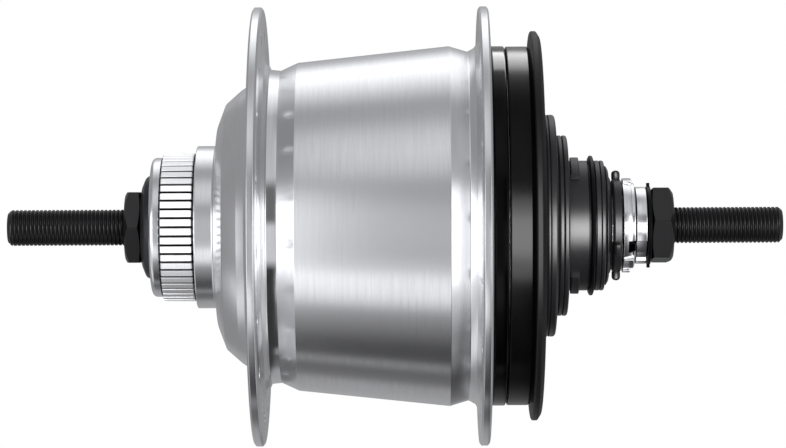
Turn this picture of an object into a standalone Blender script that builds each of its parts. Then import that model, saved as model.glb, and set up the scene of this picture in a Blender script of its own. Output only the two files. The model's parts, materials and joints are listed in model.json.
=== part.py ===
"""Rear bicycle hub with an internal eight-speed gear, a splined disc-rotor seat and a threaded axle.

Frame: +Y runs along the axle towards the disc side, +X points forward along the bicycle, +Z is up.
The origin is the middle of the axle, on its axis. Every outline below is written as (y, r) pairs in
millimetres: y along the axle, r from its axis. Angles are measured about +Y, from +Z towards +X.
"""

import math

import bmesh
import bpy

MM = 0.001
GAP = 0.3  # clearance left between neighbouring pieces

# Axle and locknuts
AXLE_LENGTH = 187.0
AXLE_R = 9.525 / 2  # 3/8 inch thread
AXLE_CHAMFER = 1.2
AXLE_FLAT_HALF = 4.15  # half the distance across the two flats
AXLE_FLAT_START = 58.0
NUT_ACROSS_FLATS = 17.0
NUT_CORNER_R = NUT_ACROSS_FLATS / math.sqrt(3)
NUT_LEFT_FACE, NUT_RIGHT_FACE = 65.0, -67.0  # 132 mm over the locknuts
NUT_LEFT_TURN, NUT_RIGHT_TURN = math.radians(30), math.radians(37.6)
BORE_R = AXLE_R + GAP
WASHER_TAB_R = 10.3

# Spoke flanges
FLANGE_R = 53.0
SPOKE_CIRCLE_R = 92.6 / 2
SPOKE_HOLE_R = 1.45
SPOKES_PER_FLANGE = 18
FIRST_SPOKE = math.radians(3)
FLANGE_HALF = 1.2  # half a flange's thickness
FLANGE_LEFT_Y, FLANGE_RIGHT_Y = 32.7, -21.4

# Disc-rotor spline
SPLINE_TEETH = 52
SPLINE_TIP_R, SPLINE_ROOT_R = 17.9, 17.0
ROTOR_SEAT_Y = 47.6
SPLINE_Y = (ROTOR_SEAT_Y - 0.3, 55.6)

# Sprocket seat
SPROCKET_SEAT_Y = -41.4
DRIVER_R = 15.7
DRIVER_LUG_R = 17.1
DRIVER_LUGS = 3
DRIVER_LUG_HALF = math.radians(14)
FIRST_DRIVER_LUG = math.radians(330)
DRIVER_LUG_END = -44.0

# Lever ring that the shift cable turns
LEVER_RING_R = 11.4
LEVER_KNOBS = [math.radians(a) for a in (0, 120, 180, 243)]

# Gear trains: tooth counts of the planets' steps, the suns and the ring gears
PLANETS = 3
REDUCTION_MODULE = 4 / 3
SUN_1_TEETH, RING_1_TEETH = 27, 51
PLANET_1_SUN_STEP, PLANET_1_RING_STEP = 9, 15
STEP_UP_MODULE = 1.4
SUN_TEETH = {"sun_2": 14, "sun_3": 18, "sun_4": 21}
PLANET_2_SUN_STEPS = {"sun_2": 16, "sun_3": 12, "sun_4": 9}
RING_2_TEETH, PLANET_2_RING_STEP = 41, 11
REDUCTION_CENTRES = REDUCTION_MODULE * (SUN_1_TEETH + PLANET_1_SUN_STEP) / 2
STEP_UP_CENTRES = STEP_UP_MODULE * (SUN_TEETH["sun_4"] + PLANET_2_SUN_STEPS["sun_4"]) / 2
TOOTH_TIP, TOOTH_ROOT, TOOTH_SLOPE = 0.7, 0.95, 0.42  # of the module
BACKLASH = 0.5
PIN_R = 2.2
PLANET_BORE_R = PIN_R + GAP
STEP_LAP = 0.22  # how far a planet's step runs past its span into the gap beside it

# Where the gears sit along the axle, from the drive side to the disc side
REDUCTION_RING_Y = (-25.0, -21.6)
REDUCTION_SUN_Y = (-21.2, -17.4)
SUN_Y = {"sun_4": (-14.4, -7.8), "sun_3": (-7.4, -0.8), "sun_2": (-0.4, 6.2)}
STEP_UP_RING_Y = (6.6, 13.4)

# Cam tube that turns on the axle under the suns
CAM_IN_R, CAM_OUT_R = BORE_R, 6.1
SUN_BORE_R = CAM_OUT_R + 0.5

LARGE, MEDIUM, SMALL = 32, 20, 12  # sides of a turned piece
DRIVER_SIDES = 24

MATERIALS = {
    "shell_aluminium": ((0.78, 0.79, 0.80), 1.0, 0.28),
    "black_painted": ((0.035, 0.036, 0.04), 0.3, 0.35),
    "black_plastic": ((0.03, 0.03, 0.03), 0.0, 0.45),
    "black_steel": ((0.05, 0.05, 0.052), 0.8, 0.35),
    "bright_steel": ((0.62, 0.62, 0.63), 1.0, 0.25),
    "gear_steel": ((0.36, 0.36, 0.37), 1.0, 0.35),
    "spring_steel": ((0.25, 0.25, 0.27), 1.0, 0.4),
}


# ---------------------------------------------------------------- helpers


def clear_scene():
    for obj in list(bpy.data.objects):
        bpy.data.objects.remove(obj, do_unlink=True)


def material(name):
    """The named material, made on first use."""
    if name in bpy.data.materials:
        return bpy.data.materials[name]
    colour, metallic, roughness = MATERIALS[name]
    made = bpy.data.materials.new(name)
    made.use_nodes = True
    shader = made.node_tree.nodes["Principled BSDF"]
    shader.inputs["Base Color"].default_value = (*colour, 1.0)
    shader.inputs["Metallic"].default_value = metallic
    shader.inputs["Roughness"].default_value = roughness
    made.diffuse_color = (*colour, 1.0)
    return made


def polar(y, r, angle):
    """A point in metres at y along the axle, r from its axis and angle from +Z towards +X."""
    return (r * math.sin(angle) * MM, y * MM, r * math.cos(angle) * MM)


def spread(count, start=0.0):
    """Evenly spaced angles round the axle."""
    return [start + 2 * math.pi * k / count for k in range(count)]


def finish_mesh(shape, name):
    """Turn a bmesh into a mesh whose faces all point out."""
    bmesh.ops.recalc_face_normals(shape, faces=shape.faces)
    mesh = bpy.data.meshes.new(name)
    shape.to_mesh(mesh)
    shape.free()
    mesh.shade_smooth()
    mesh.set_sharp_from_angle(angle=math.radians(35))
    return mesh


def place(name, mesh, colour, parent=None):
    """Add one sub-part to the scene."""
    obj = bpy.data.objects.new(name, mesh)
    bpy.context.collection.objects.link(obj)
    if not mesh.materials:
        mesh.materials.append(material(colour))
    obj.parent = parent
    return obj


def pivot(name, x=0.0, y=0.0, z=0.0):
    """An empty on a joint's axis, which holds the pieces that turn together."""
    empty = bpy.data.objects.new(name, None)
    bpy.context.collection.objects.link(empty)
    empty.location = (x, y, z)
    empty.empty_display_size = 0.01
    return empty


def turned(outline, sides):
    """A ring turned round the axle from a closed outline of (y, r) points."""
    shape = bmesh.new()
    angles = spread(sides)
    rings = [[shape.verts.new(polar(y, r, a)) for a in angles] for y, r in outline]
    for ring, following in zip(rings, rings[1:] + rings[:1]):
        for k in range(sides):
            n = (k + 1) % sides
            shape.faces.new((ring[k], ring[n], following[n], following[k]))
    return finish_mesh(shape, "turned")


def rod(outline, sides, turn=0.0, x=0.0, z=0.0):
    """A solid bar turned from an open outline of (y, r) points, with flat ends."""
    shape = bmesh.new()
    angles = spread(sides, turn)
    rings = [[shape.verts.new(polar(y, r, a)) for a in angles] for y, r in outline]
    for ring, following in zip(rings, rings[1:]):
        for k in range(sides):
            n = (k + 1) % sides
            shape.faces.new((ring[k], ring[n], following[n], following[k]))
    shape.faces.new(rings[0])
    shape.faces.new(rings[-1])
    bmesh.ops.translate(shape, vec=(x * MM, 0.0, z * MM), verts=shape.verts)
    return finish_mesh(shape, "rod")


def box(low, high):
    """A block between two corners in millimetres."""
    shape = bmesh.new()
    bmesh.ops.create_cube(shape, size=1.0)
    for vert in shape.verts:
        for axis in range(3):
            side = high[axis] if vert.co[axis] > 0 else low[axis]
            vert.co[axis] = side * MM
    return finish_mesh(shape, "block")


def tooth_outline(teeth, module, internal=False, turn=0.0):
    """The four corners of each tooth of a wheel, as (radius, angle), with backlash at the pitch line."""
    side = -1 if internal else 1
    pitch_r = teeth * module / 2
    tip_r = pitch_r + side * TOOTH_TIP * module
    root_r = pitch_r - side * TOOTH_ROOT * module
    half = module * math.pi / 4 - BACKLASH / 2
    tip_half = half - TOOTH_TIP * module * TOOTH_SLOPE
    root_half = half + TOOTH_ROOT * module * TOOTH_SLOPE
    corners = []
    for k in range(teeth):
        middle = turn + 2 * math.pi * k / teeth
        corners += [
            (root_r, middle - root_half / root_r),
            (tip_r, middle - tip_half / tip_r),
            (tip_r, middle + tip_half / tip_r),
            (root_r, middle + root_half / root_r),
        ]
    return corners


def toothed_ring(corners, plain_r, y_low, y_high, turn=0.0):
    """A toothed ring: the corners on one side, and a plain wall of radius plain_r on the other."""
    shape = bmesh.new()
    teeth = len(corners) // 4
    walls = {}
    for y in (y_low, y_high):
        toothed = [shape.verts.new(polar(y, r, a)) for r, a in corners]
        starts = [turn + 2 * math.pi * (k - 0.5) / teeth for k in range(teeth)]
        plain = [shape.verts.new(polar(y, plain_r, a)) for a in starts]
        walls[y] = toothed, plain
        for k in range(teeth):
            n = (k + 1) % teeth
            shape.faces.new((plain[k], *toothed[4 * k : 4 * k + 4], plain[n]))
            shape.faces.new((plain[n], toothed[4 * k + 3], toothed[4 * n]))
    for low, high in zip(walls[y_low], walls[y_high]):
        for k in range(len(low)):
            n = (k + 1) % len(low)
            shape.faces.new((low[k], low[n], high[n], high[k]))
    return finish_mesh(shape, "toothed_ring")


def toothed_bar(corners, y_low, y_high):
    """A solid toothed prism."""
    shape = bmesh.new()
    low, high = ([shape.verts.new(polar(y, r, a)) for r, a in corners] for y in (y_low, y_high))
    for k in range(len(corners)):
        n = (k + 1) % len(corners)
        shape.faces.new((low[k], low[n], high[n], high[k]))
    shape.faces.new(low)
    shape.faces.new(high)
    return finish_mesh(shape, "toothed_bar")


def combine(base, tools, operation):
    """The mesh that is left when each tool mesh in turn is joined to, or cut from, the base mesh."""
    work = bpy.data.objects.new("work", base)
    bpy.context.collection.objects.link(work)
    cutters = []
    for tool in tools:
        cutter = bpy.data.objects.new("cutter", tool)
        cutter.hide_render = True
        cutter.display_type = "WIRE"
        bpy.context.collection.objects.link(cutter)
        step = work.modifiers.new("combine", "BOOLEAN")
        step.operation = operation
        step.object = cutter
        cutters.append(cutter)
    bpy.context.view_layer.update()
    graph = bpy.context.evaluated_depsgraph_get()
    mesh = bpy.data.meshes.new_from_object(work.evaluated_get(graph))
    for obj in (work, *cutters):
        bpy.data.objects.remove(obj, do_unlink=True)
    return mesh


def union(base, *tools):
    return combine(base, tools, "UNION")


def cut(base, *tools):
    return combine(base, tools, "DIFFERENCE")


def tube(y_low, y_high, inner_r, outer_r, sides):
    """A plain ring."""
    return turned([(y_low, inner_r), (y_low, outer_r), (y_high, outer_r), (y_high, inner_r)], sides)


def post(angle, distance, radius, y_low, y_high, sides=12):
    """A round bar parallel to the axle, at a distance from its axis."""
    x = distance * math.sin(angle)
    z = distance * math.cos(angle)
    return rod([(y_low, radius), (y_high, radius)], sides, x=x, z=z)


def joined(meshes):
    """Several separate meshes as one tool mesh."""
    shape = bmesh.new()
    for mesh in meshes:
        shape.from_mesh(mesh)
    return finish_mesh(shape, "joined")


# ---------------------------------------------------------------- axle unit


def make_axle():
    end = AXLE_LENGTH / 2
    shoulder_r = AXLE_R - AXLE_CHAMFER
    outline = [
        (-end, shoulder_r),
        (-end + AXLE_CHAMFER, AXLE_R),
        (end - AXLE_CHAMFER, AXLE_R),
        (end, shoulder_r),
    ]
    bar = rod(outline, MEDIUM, turn=math.pi / MEDIUM)
    clear = AXLE_R + 1.0
    flats = []
    for y_low, y_high in ((-end - 1, -AXLE_FLAT_START), (AXLE_FLAT_START, end + 1)):
        flats.append(box((-clear, y_low, AXLE_FLAT_HALF), (clear, y_high, clear)))
        flats.append(box((-clear, y_low, -clear), (clear, y_high, -AXLE_FLAT_HALF)))
    place("axle", cut(bar, joined(flats)), "black_steel")


def make_locknut(name, inner_y, outer_y, turn):
    """A hexagonal nut whose outer edge is chamfered towards outer_y."""
    out = 1 if outer_y > inner_y else -1
    chamfer = [
        (inner_y - out, 0.6 * BORE_R),
        (inner_y - out, NUT_CORNER_R + 0.5),
        (outer_y - 0.9 * out, NUT_CORNER_R + 0.2),
        (outer_y, NUT_ACROSS_FLATS / 2 - 0.3),
        (outer_y + out, NUT_ACROSS_FLATS / 2 - 2.0),
        (outer_y + out, 0.6 * BORE_R),
    ]
    hexagon = rod([(inner_y, NUT_CORNER_R), (outer_y, NUT_CORNER_R)], 6, turn=turn)
    trimmed = combine(turned(chamfer, SMALL), [hexagon], "INTERSECT")
    bore = rod([(inner_y - 2 * out, BORE_R), (outer_y + 2 * out, BORE_R)], SMALL)
    place(name, cut(trimmed, bore), "black_steel")


def make_cones():
    """The two bearing cones: a collar on the axle with a race that swells towards the balls."""
    left = [(45.6, BORE_R), (45.6, 8.0), (47.2, 7.6), (49.0, 7.2), (60.9, 7.2), (60.9, BORE_R)]
    place("cone_left", turned(left, SMALL), "bright_steel")
    right = [(-41.2, 6.5), (-41.2, 8.1), (-43.0, 7.9), (-45.0, 7.6), (-54.2, 7.6), (-54.2, 6.5)]
    place("cone_right", turned(right, SMALL), "bright_steel")


def make_dust_cap_left():
    outline = [
        (56.2, 7.6),
        (56.2, 12.8),
        (58.6, 12.8),
        (59.7, 12.1),
        (60.7, 11.0),
        (60.9, 9.8),
        (60.9, 7.6),
    ]
    place("dust_cap_left", turned(outline, MEDIUM), "black_plastic")


def make_collar_and_washer():
    place("guide_collar", tube(-60.5, -57.9, BORE_R, 9.3, MEDIUM), "bright_steel")
    low, high, tab_inset, tab_root = -61.6, -60.7, 0.1, 8.0
    washer = tube(low, high, BORE_R, 9.3, MEDIUM)
    tabs = []
    for z_low, z_high in ((tab_root, WASHER_TAB_R), (-WASHER_TAB_R, -tab_root)):
        tabs.append(box((-1.0, low + tab_inset, z_low), (1.0, high - tab_inset, z_high)))
    place("stop_washer", union(washer, joined(tabs)), "black_steel")


def sun_turn(sun_teeth, planet_teeth):
    """How far a sun is turned to mesh with planets that all have a tooth at angle 0."""
    return 0.0 if planet_teeth % 2 else math.pi / sun_teeth


def make_sun_1():
    """The reduction stage's sun, which the axle holds still."""
    turn = sun_turn(SUN_1_TEETH, PLANET_1_SUN_STEP)
    corners = tooth_outline(SUN_1_TEETH, REDUCTION_MODULE, turn=turn)
    place("sun_1", toothed_ring(corners, SUN_BORE_R, *REDUCTION_SUN_Y, turn=turn), "gear_steel")


def make_return_spring():
    """A wire coil round the axle that turns the cam back when the cable is let out."""
    coil_r, wire_r, turns, pitch, sides, per_turn = 7.4, 0.7, 4, 2.2, 5, 12
    start_y = 24.0
    shape = bmesh.new()
    rings = []
    for k in range(turns * per_turn + 1):
        angle = 2 * math.pi * k / per_turn
        y = start_y + pitch * k / per_turn
        ring = []
        for s in range(sides):
            around = 2 * math.pi * s / sides
            out, along = wire_r * math.cos(around), wire_r * math.sin(around)
            ring.append(shape.verts.new(polar(y + along, coil_r + out, angle)))
        rings.append(ring)
    for ring, following in zip(rings, rings[1:]):
        for s in range(sides):
            n = (s + 1) % sides
            shape.faces.new((ring[s], ring[n], following[n], following[s]))
    shape.faces.new(rings[0])
    shape.faces.new(rings[-1])
    place("return_spring", finish_mesh(shape, "coil"), "spring_steel")


# ---------------------------------------------------------------- rotating shell


def spoke_holes(flange_y, start):
    """The round tools that drill one flange's spoke holes."""
    half = 4.0
    return joined(
        post(a, SPOKE_CIRCLE_R, SPOKE_HOLE_R, flange_y - half, flange_y + half, sides=6)
        for a in spread(SPOKES_PER_FLANGE, start)
    )


def make_hub_shell(hub):
    outer = [
        (58.5, 15.1),
        (57.2, 16.6),
        (55.7, 16.4),
        (ROTOR_SEAT_Y, 16.4),
        (ROTOR_SEAT_Y, 19.6),
        (43.0, 19.6),
        (42.8, 22.5),
        (41.6, 27.0),
        (39.6, 30.6),
        (36.7, 32.9),
        (FLANGE_LEFT_Y + 1.9, 34.8),
        (FLANGE_LEFT_Y + FLANGE_HALF, 41.0),
        (FLANGE_LEFT_Y + FLANGE_HALF, FLANGE_R - 1.0),
        (FLANGE_LEFT_Y + 0.5, FLANGE_R),
        (FLANGE_LEFT_Y - 0.5, FLANGE_R),
        (FLANGE_LEFT_Y - FLANGE_HALF, FLANGE_R - 1.0),
        (FLANGE_LEFT_Y - FLANGE_HALF, 41.4),
        (30.2, 39.0),
        (29.7, 37.85),
        (27.3, 37.85),
        (23.2, 39.6),
        (-13.1, 43.45),
        (-17.6, 42.1),
        (-19.4, 43.3),
        (FLANGE_RIGHT_Y + FLANGE_HALF, 44.4),
        (FLANGE_RIGHT_Y + FLANGE_HALF, FLANGE_R - 1.0),
        (FLANGE_RIGHT_Y + 0.5, FLANGE_R),
        (FLANGE_RIGHT_Y - 0.5, FLANGE_R),
        (FLANGE_RIGHT_Y - FLANGE_HALF, FLANGE_R - 1.0),
    ]
    inner = [
        (FLANGE_RIGHT_Y - FLANGE_HALF, 38.6),
        (-14.0, 38.9),
        (22.0, 35.5),
        (28.0, 33.4),
        (33.5, 31.0),
        (37.0, 27.8),
        (38.8, 23.0),
        (39.6, 14.3),
        (52.5, 14.3),
        (52.5, 13.3),
        (58.5, 13.3),
    ]
    body = turned(outer + inner, LARGE)
    step = math.pi / SPLINE_TEETH
    teeth = []
    for k in range(SPLINE_TEETH):
        middle = 2 * step * k
        teeth += [
            (SPLINE_ROOT_R, middle - 0.62 * step),
            (SPLINE_TIP_R, middle - 0.42 * step),
            (SPLINE_TIP_R, middle + 0.42 * step),
            (SPLINE_ROOT_R, middle + 0.62 * step),
        ]
    spline = toothed_ring(teeth, 15.9, *SPLINE_Y)
    left_holes = spoke_holes(FLANGE_LEFT_Y, FIRST_SPOKE)
    right_holes = spoke_holes(FLANGE_RIGHT_Y, FIRST_SPOKE + math.pi / SPOKES_PER_FLANGE)
    shell = cut(union(body, spline), left_holes, right_holes)
    place("hub_shell", shell, "shell_aluminium", parent=hub)


def make_shell_end(hub):
    """The black pieces that close the shell's drive side."""
    place("end_ring", tube(-26.4, -23.0, 38.6, 43.4, LARGE), "black_painted", parent=hub)
    cover = [
        (-26.7, 38.6),
        (-26.7, 43.3),
        (-32.6, 43.3),
        (-32.6, 46.4),
        (-33.1, 47.0),
        (-34.3, 47.0),
        (-34.9, 46.4),
        (-34.9, 28.0),
        (-30.2, 28.0),
        (-30.2, 31.0),
        (-33.0, 31.6),
        (-33.0, 38.6),
    ]
    place("drum_cover", turned(cover, LARGE), "black_painted", parent=hub)


def make_cup_left(hub):
    cup = [(44.4, 14.0), (44.4, 11.6), (45.6, 11.6), (47.0, 12.8), (52.2, 12.8), (52.2, 14.0)]
    place("cup_left", turned(cup, MEDIUM), "bright_steel", parent=hub)


def make_ring_gear_2(hub):
    turn = math.pi / RING_2_TEETH
    corners = tooth_outline(RING_2_TEETH, STEP_UP_MODULE, internal=True, turn=turn)
    wheel = toothed_ring(corners, 35.8, *STEP_UP_RING_Y, turn=turn)
    place("ring_gear_2", wheel, "gear_steel", parent=hub)


# ---------------------------------------------------------------- driver


def make_driver(drive):
    outline = [
        (-27.4, 37.6),
        (-28.9, 37.6),
        (-28.9, 21.6),
        (-35.3, 21.6),
        (-35.3, 26.8),
        (-38.2, 26.8),
        (-38.5, 26.4),
        (-38.5, 21.8),
        (SPROCKET_SEAT_Y + 0.3, 21.8),
        (SPROCKET_SEAT_Y, 21.4),
        (SPROCKET_SEAT_Y, DRIVER_R),
        (-50.3, DRIVER_R),
        (-50.3, 12.3),
        (-46.6, 12.3),
        (-45.4, 11.6),
        (-40.0, 11.6),
        (-38.0, 17.0),
        (-27.4, 17.0),
    ]
    body = turned(outline, DRIVER_SIDES)
    lugs = []
    foot_r, steps = DRIVER_R - 0.8, 4
    for angle in spread(DRIVER_LUGS, FIRST_DRIVER_LUG):
        arc = [DRIVER_LUG_HALF * (2 * s / steps - 1) for s in range(steps + 1)]
        corners = [(DRIVER_LUG_R, angle + a) for a in arc]
        corners += [(foot_r, angle + arc[-1]), (foot_r, angle + arc[0])]
        lugs.append(toothed_bar(corners, DRIVER_LUG_END, SPROCKET_SEAT_Y + 0.3))
    place("driver", union(body, joined(lugs)), "black_steel", parent=drive)


def make_driver_rings(drive):
    snap = [(-46.2, 16.0), (-46.2, 16.4), (-46.7, 16.9), (-47.7, 16.9), (-48.0, 16.0)]
    place("snap_ring", turned(snap, MEDIUM), "black_steel", parent=drive)
    cap = [(-50.6, 8.4), (-50.6, 14.8), (-51.3, 13.6), (-51.9, 11.4), (-51.9, 8.4)]
    place("dust_cap_right", turned(cap, MEDIUM), "black_plastic", parent=drive)


def make_ring_gear_1(drive):
    turn = math.pi / RING_1_TEETH
    corners = tooth_outline(RING_1_TEETH, REDUCTION_MODULE, internal=True, turn=turn)
    y_low, y_high = REDUCTION_RING_Y[0] - 1.9, REDUCTION_RING_Y[1] + 0.3
    wheel = toothed_ring(corners, 37.6, y_low, y_high, turn=turn)
    place("ring_gear_1", wheel, "gear_steel", parent=drive)


# ---------------------------------------------------------------- carrier, planets and suns


def make_carrier(carrier):
    """Three plates, the posts between them and a pin through each planet."""
    reduction_angles = spread(PLANETS)
    step_up_angles = spread(PLANETS, math.pi / PLANETS)
    pin_hole = PLANET_BORE_R

    right_plate = tube(-27.0, -25.6, 9.0, 31.4, LARGE)
    posts = [post(a, 25.5, 3.6, -26.0, -17.1) for a in step_up_angles]
    holes = [post(a, REDUCTION_CENTRES, pin_hole, -28.5, -24.5) for a in reduction_angles]
    plate = cut(union(right_plate, joined(posts)), joined(holes))
    place("carrier_right", plate, "gear_steel", parent=carrier)

    centre_plate = tube(-16.8, -15.0, 9.0, 31.4, LARGE)
    holes = [post(a, REDUCTION_CENTRES, pin_hole, -18.5, -13.5) for a in reduction_angles]
    holes += [post(a, STEP_UP_CENTRES, pin_hole, -18.5, -13.5) for a in step_up_angles]
    place("carrier_centre", cut(centre_plate, joined(holes)), "gear_steel", parent=carrier)

    left_plate = tube(14.0, 16.4, 9.0, 26.4, LARGE)
    posts = [post(a, 22.3, 3.0, -14.7, 15.0) for a in reduction_angles]
    holes = [post(a, STEP_UP_CENTRES, pin_hole, 12.8, 18.0) for a in step_up_angles]
    plate = cut(union(left_plate, joined(posts)), joined(holes))
    place("carrier_left", plate, "gear_steel", parent=carrier)

    for letter, angle in zip("abc", reduction_angles):
        pin = post(angle, REDUCTION_CENTRES, PIN_R, -27.0, -15.1)
        place(f"pin_1{letter}", pin, "bright_steel", parent=carrier)
    for letter, angle in zip("abc", step_up_angles):
        pin = post(angle, STEP_UP_CENTRES, PIN_R, -16.7, 16.4)
        place(f"pin_2{letter}", pin, "bright_steel", parent=carrier)


def stepped_planet(module, steps):
    """A planet wheel: toothed steps side by side round one bore, all with a tooth at angle 0."""
    bars = []
    for teeth, (low, high) in steps:
        bars.append(toothed_bar(tooth_outline(teeth, module), low - STEP_LAP, high + STEP_LAP))
    first, *others = bars
    ends = [y for _, span in steps for y in span]
    bore = rod([(min(ends) - 2, PLANET_BORE_R), (max(ends) + 2, PLANET_BORE_R)], 12)
    return cut(union(first, *others), bore)


def make_planets():
    """Three planets of each stage, each on an empty that stands on its pin."""
    steps = [(PLANET_1_RING_STEP, REDUCTION_RING_Y), (PLANET_1_SUN_STEP, REDUCTION_SUN_Y)]
    reduction = stepped_planet(REDUCTION_MODULE, steps)
    steps = [(PLANET_2_SUN_STEPS[sun], SUN_Y[sun]) for sun in ("sun_4", "sun_3", "sun_2")]
    steps.append((PLANET_2_RING_STEP, STEP_UP_RING_Y))
    step_up = stepped_planet(STEP_UP_MODULE, steps)
    stages = (
        ("planet_1", reduction, REDUCTION_CENTRES, spread(PLANETS)),
        ("planet_2", step_up, STEP_UP_CENTRES, spread(PLANETS, math.pi / PLANETS)),
    )
    for stage, mesh, distance, angles in stages:
        for letter, angle in zip("abc", angles):
            x, y, z = polar(0.0, distance, angle)
            axis = pivot(f"{stage}{letter}_axis", x, y, z)
            place(f"{stage}{letter}", mesh, "gear_steel", parent=axis)


def make_suns():
    """The step-up stage's three suns, loose on the cam tube."""
    for name, teeth in SUN_TEETH.items():
        turn = sun_turn(teeth, PLANET_2_SUN_STEPS[name])
        corners = tooth_outline(teeth, STEP_UP_MODULE, turn=turn)
        axis = pivot(f"{name}_axis")
        wheel = toothed_ring(corners, SUN_BORE_R, *SUN_Y[name], turn=turn)
        place(name, wheel, "gear_steel", parent=axis)


# ---------------------------------------------------------------- shifting parts


def make_shift_parts(cam):
    tube_mesh = tube(-57.4, 20.0, CAM_IN_R, CAM_OUT_R, SMALL)
    slots = [box((-1.6, y - 2.0, 3.0), (1.6, y + 2.0, 8.0)) for y in (-19.1, -11.1, -4.1, 2.9)]
    place("cam_tube", cut(tube_mesh, joined(slots)), "spring_steel", parent=cam)

    shift_ring = tube(-57.6, -54.7, CAM_OUT_R + GAP, 10.9, MEDIUM)
    lugs = [box((-1.3, -57.5, 8.5), (1.3, -55.1, 11.5)), box((-1.3, -57.5, -11.5), (1.3, -55.1, -8.5))]
    place("shift_ring", union(shift_ring, joined(lugs)), "bright_steel", parent=cam)

    lever_ring = tube(-54.4, -52.3, 8.4, LEVER_RING_R, MEDIUM)
    knobs = [post(a, LEVER_RING_R + 0.5, 1.5, -54.3, -52.4, sides=8) for a in LEVER_KNOBS]
    place("lever_ring", union(lever_ring, joined(knobs)), "black_plastic", parent=cam)


# ---------------------------------------------------------------- ball retainers


def ball_retainer(y, pitch_r, ball_r, count):
    """A cage ring with its balls."""
    cage = tube(y - 0.8, y + 0.8, pitch_r - 0.6, pitch_r + 0.6, 2 * count)
    balls = []
    for angle in spread(count):
        shape = bmesh.new()
        bmesh.ops.create_uvsphere(shape, u_segments=6, v_segments=4, radius=ball_r * MM)
        bmesh.ops.translate(shape, vec=polar(y, pitch_r, angle), verts=shape.verts)
        balls.append(finish_mesh(shape, "ball"))
    return union(cage, joined(balls))


def make_retainers():
    """The three ball retainers, each loose between its cone and its cup."""
    places = (
        ("retainer_left", 48.8, 10.1, 2.2, 7),
        ("retainer_shell", -32.6, 24.8, 2.6, 12),
        ("retainer_driver", -44.6, 9.8, 1.7, 8),
    )
    for name, y, pitch_r, ball_r, count in places:
        axis = pivot(f"{name}_axis")
        place(name, ball_retainer(y, pitch_r, ball_r, count), "bright_steel", parent=axis)


# ---------------------------------------------------------------- assembly


def main():
    clear_scene()
    make_axle()
    make_locknut("locknut_left", 61.2, NUT_LEFT_FACE, NUT_LEFT_TURN)
    make_locknut("locknut_right", -61.8, NUT_RIGHT_FACE, NUT_RIGHT_TURN)
    make_cones()
    make_dust_cap_left()
    make_collar_and_washer()
    make_sun_1()
    make_return_spring()

    hub = pivot("hub_spin_axis")
    make_hub_shell(hub)
    make_shell_end(hub)
    make_cup_left(hub)
    make_ring_gear_2(hub)

    drive = pivot("driver_spin_axis")
    make_driver(drive)
    make_driver_rings(drive)
    make_ring_gear_1(drive)

    carrier = pivot("carrier_spin_axis")
    make_carrier(carrier)
    make_planets()
    make_suns()

    cam = pivot("shift_turn_axis")
    make_shift_parts(cam)
    make_retainers()


main()
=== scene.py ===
"""The looks of the rear hub with an internal gear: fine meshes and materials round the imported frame.

+Y runs along the axle towards the disc side, +X forward, +Z up, and the origin is the middle of the
axle. Outlines are (y, r) or (y, r, rounding) in millimetres: y along the axle, r from its axis, and
the radius that rounds the corner. Angles are about +Y, from +Z towards +X.
"""

import json
import math

import bmesh
import bpy
from mathutils import Matrix, Vector

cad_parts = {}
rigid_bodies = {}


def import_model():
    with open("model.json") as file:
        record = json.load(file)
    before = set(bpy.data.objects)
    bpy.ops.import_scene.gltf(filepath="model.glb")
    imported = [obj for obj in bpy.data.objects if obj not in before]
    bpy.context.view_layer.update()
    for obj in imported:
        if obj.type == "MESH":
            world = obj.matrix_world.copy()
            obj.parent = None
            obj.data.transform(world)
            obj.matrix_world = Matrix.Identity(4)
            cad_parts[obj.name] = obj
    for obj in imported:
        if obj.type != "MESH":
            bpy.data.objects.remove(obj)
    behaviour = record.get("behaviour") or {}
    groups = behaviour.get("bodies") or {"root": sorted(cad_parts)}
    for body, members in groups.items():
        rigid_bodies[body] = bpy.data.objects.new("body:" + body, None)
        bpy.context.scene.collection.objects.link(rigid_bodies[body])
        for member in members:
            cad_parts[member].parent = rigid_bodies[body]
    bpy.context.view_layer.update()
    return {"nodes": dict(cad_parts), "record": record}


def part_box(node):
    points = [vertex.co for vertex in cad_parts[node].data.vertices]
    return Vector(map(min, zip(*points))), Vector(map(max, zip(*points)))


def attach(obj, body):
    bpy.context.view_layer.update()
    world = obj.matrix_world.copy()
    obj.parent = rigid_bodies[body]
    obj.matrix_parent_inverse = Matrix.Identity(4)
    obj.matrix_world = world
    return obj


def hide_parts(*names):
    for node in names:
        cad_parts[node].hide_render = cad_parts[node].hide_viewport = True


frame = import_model()

MM = 0.001
ARC_STEP = math.radians(15)  # the turn between two points of a rounded corner
LUG_STEP = math.radians(8)  # and between two points of a lug's top
SHARP_ANGLE = math.radians(32)  # edges that turn more than this are drawn sharp


# ---------------------------------------------------------------- sizes read from the frame


def extent(node):
    """A node's lowest and highest y and its largest reach from the axis, in millimetres."""
    low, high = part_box(node)
    reach = max(high.x, high.z, -low.x, -low.z)
    return low.y / MM, high.y / MM, reach / MM


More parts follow.
